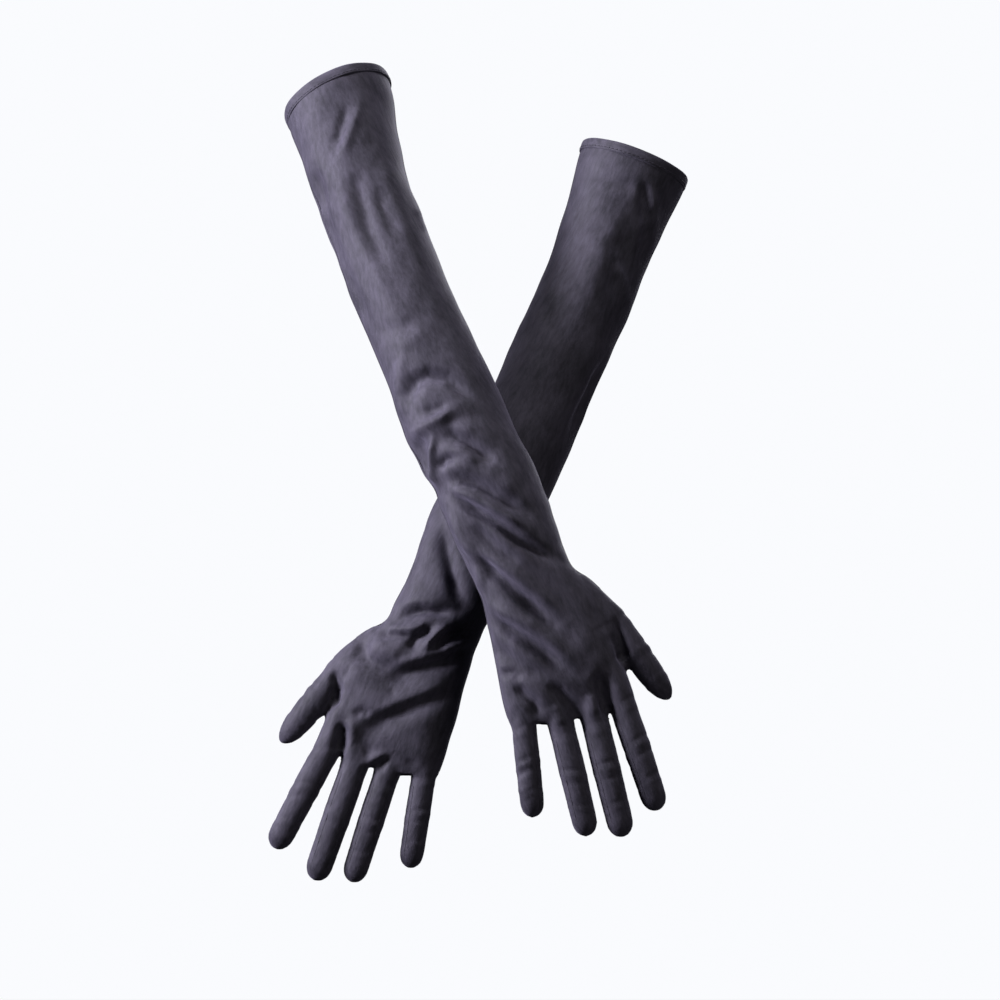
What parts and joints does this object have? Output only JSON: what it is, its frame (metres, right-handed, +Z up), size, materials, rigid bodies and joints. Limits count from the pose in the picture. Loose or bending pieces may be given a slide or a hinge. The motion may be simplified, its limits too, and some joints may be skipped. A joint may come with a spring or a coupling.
{
  "type": "opera gloves",
  "caption": "Pair of long stretch-satin opera gloves, crossed as worn, with sleeves that end below the elbow, turned hems, forked fingers and set-in thumbs.",
  "frame": {"origin": "middle of the left cuff's mouth", "axes": "+Z up the gloves from the fingertips to the cuffs, +X to the viewer's right, -Y out of the backs of the hands"},
  "size_m": [0.2789, 0.1798, 0.5434],
  "materials": {
    "stretch_satin": "matte stretch satin with a soft lilac-grey sheen",
    "fork_cloth": "matte stretch satin",
    "hem_cloth": "matte stretch satin, turned double",
    "thread": "matte polyester thread"
  },
  "bodies": {
    "left_sleeve": {"left_cuff_hem": "hem_cloth", "left_hem_stitching": "thread", "left_inner_seam": "thread", "left_outer_seam": "thread", "left_sleeve_back": "stretch_satin", "left_sleeve_underside": "stretch_satin"},
    "left_hand": {"left_hand_back": "stretch_satin", "left_hand_palm": "stretch_satin", "left_thumb_base": "stretch_satin"},
    "left_thumb": {"left_thumb": "stretch_satin", "left_thumb_seam": "thread"},
    "left_index": {"left_index_back": "stretch_satin", "left_index_fork": "fork_cloth", "left_index_front": "stretch_satin"},
    "left_middle": {"left_middle_back": "stretch_satin", "left_middle_front": "stretch_satin", "left_middle_inner_fork": "fork_cloth", "left_middle_outer_fork": "fork_cloth"},
    "left_ring": {"left_ring_back": "stretch_satin", "left_ring_front": "stretch_satin", "left_ring_inner_fork": "fork_cloth", "left_ring_outer_fork": "fork_cloth"},
    "left_little": {"left_little_back": "stretch_satin", "left_little_fork": "fork_cloth", "left_little_front": "stretch_satin"},
    "right_sleeve": {"right_cuff_hem": "hem_cloth", "right_hem_stitching": "thread", "right_inner_seam": "thread", "right_outer_seam": "thread", "right_sleeve_back": "stretch_satin", "right_sleeve_underside": "stretch_satin"},
    "right_hand": {"right_hand_back": "stretch_satin", "right_hand_palm": "stretch_satin", "right_thumb_base": "stretch_satin"},
    "right_thumb": {"right_thumb": "stretch_satin", "right_thumb_seam": "thread"},
    "right_index": {"right_index_back": "stretch_satin", "right_index_fork": "fork_cloth", "right_index_front": "stretch_satin"},
    "right_middle": {"right_middle_back": "stretch_satin", "right_middle_front": "stretch_satin", "right_middle_inner_fork": "fork_cloth", "right_middle_outer_fork": "fork_cloth"},
    "right_ring": {"right_ring_back": "stretch_satin", "right_ring_front": "stretch_satin", "right_ring_inner_fork": "fork_cloth", "right_ring_outer_fork": "fork_cloth"},
    "right_little": {"right_little_back": "stretch_satin", "right_little_fork": "fork_cloth", "right_little_front": "stretch_satin"}
  },
  "joints": [
    {"name": "left_wrist_bend", "type": "hinge", "parent": "left_sleeve", "child": "left_hand", "pos_m": [-0.135, -0.058, -0.312], "axis": [0.9107, -0.0395, -0.4112], "range_deg": [-35, 40]},
    {"name": "left_thumb_bend", "type": "hinge", "parent": "left_hand", "child": "left_thumb", "pos_m": [-0.20935, -0.06081, -0.35606], "axis": [0.7534, -0.0629, -0.6545], "range_deg": [0, 40]},
    {"name": "left_index_bend", "type": "hinge", "parent": "left_hand", "child": "left_index", "pos_m": [-0.20285, -0.06525, -0.38739], "axis": [0.8816, -0.0452, -0.4699], "range_deg": [0, 70]},
    {"name": "left_middle_bend", "type": "hinge", "parent": "left_hand", "child": "left_middle", "pos_m": [-0.18542, -0.06632, -0.39854], "axis": [0.9429, -0.0319, -0.3314], "range_deg": [0, 70]},
    {"name": "left_ring_bend", "type": "hinge", "parent": "left_hand", "child": "left_ring", "pos_m": [-0.16501, -0.067, -0.40557], "axis": [0.9507, -0.0297, -0.3085], "range_deg": [0, 70]},
    {"name": "left_little_bend", "type": "hinge", "parent": "left_hand", "child": "left_little", "pos_m": [-0.14039, -0.06701, -0.40575], "axis": [0.9882, -0.0147, -0.1528], "range_deg": [0, 70]},
    {"name": "right_wrist_bend", "type": "hinge", "parent": "right_sleeve", "child": "right_hand", "pos_m": [-0.075, -0.12, -0.276], "axis": [0.9341, 0.0333, 0.3554], "range_deg": [-35, 40]},
    {"name": "right_thumb_bend", "type": "hinge", "parent": "right_hand", "child": "right_thumb", "pos_m": [-0.00347, -0.12312, -0.32449], "axis": [0.792, 0.057, 0.6079], "range_deg": [0, 40]},
    {"name": "right_index_bend", "type": "hinge", "parent": "right_hand", "child": "right_index", "pos_m": [-0.01188, -0.12744, -0.35537], "axis": [0.9473, 0.0299, 0.319], "range_deg": [0, 70]},
    {"name": "right_middle_bend", "type": "hinge", "parent": "right_hand", "child": "right_middle", "pos_m": [-0.02996, -0.12838, -0.36545], "axis": [0.9705, 0.0225, 0.2402], "range_deg": [0, 70]},
    {"name": "right_ring_bend", "type": "hinge", "parent": "right_hand", "child": "right_ring", "pos_m": [-0.05076, -0.12892, -0.37123], "axis": [0.9721, 0.0219, 0.2337], "range_deg": [0, 70]},
    {"name": "right_little_bend", "type": "hinge", "parent": "right_hand", "child": "right_little", "pos_m": [-0.07534, -0.1288, -0.36993], "axis": [0.9939, 0.0103, 0.11], "range_deg": [0, 70]},
    {"name": "gloves_apart", "type": "slide", "parent": "left_sleeve", "child": "right_sleeve", "axis": [0, -1, 0], "range_m": [0, 0.2]}
  ]
}
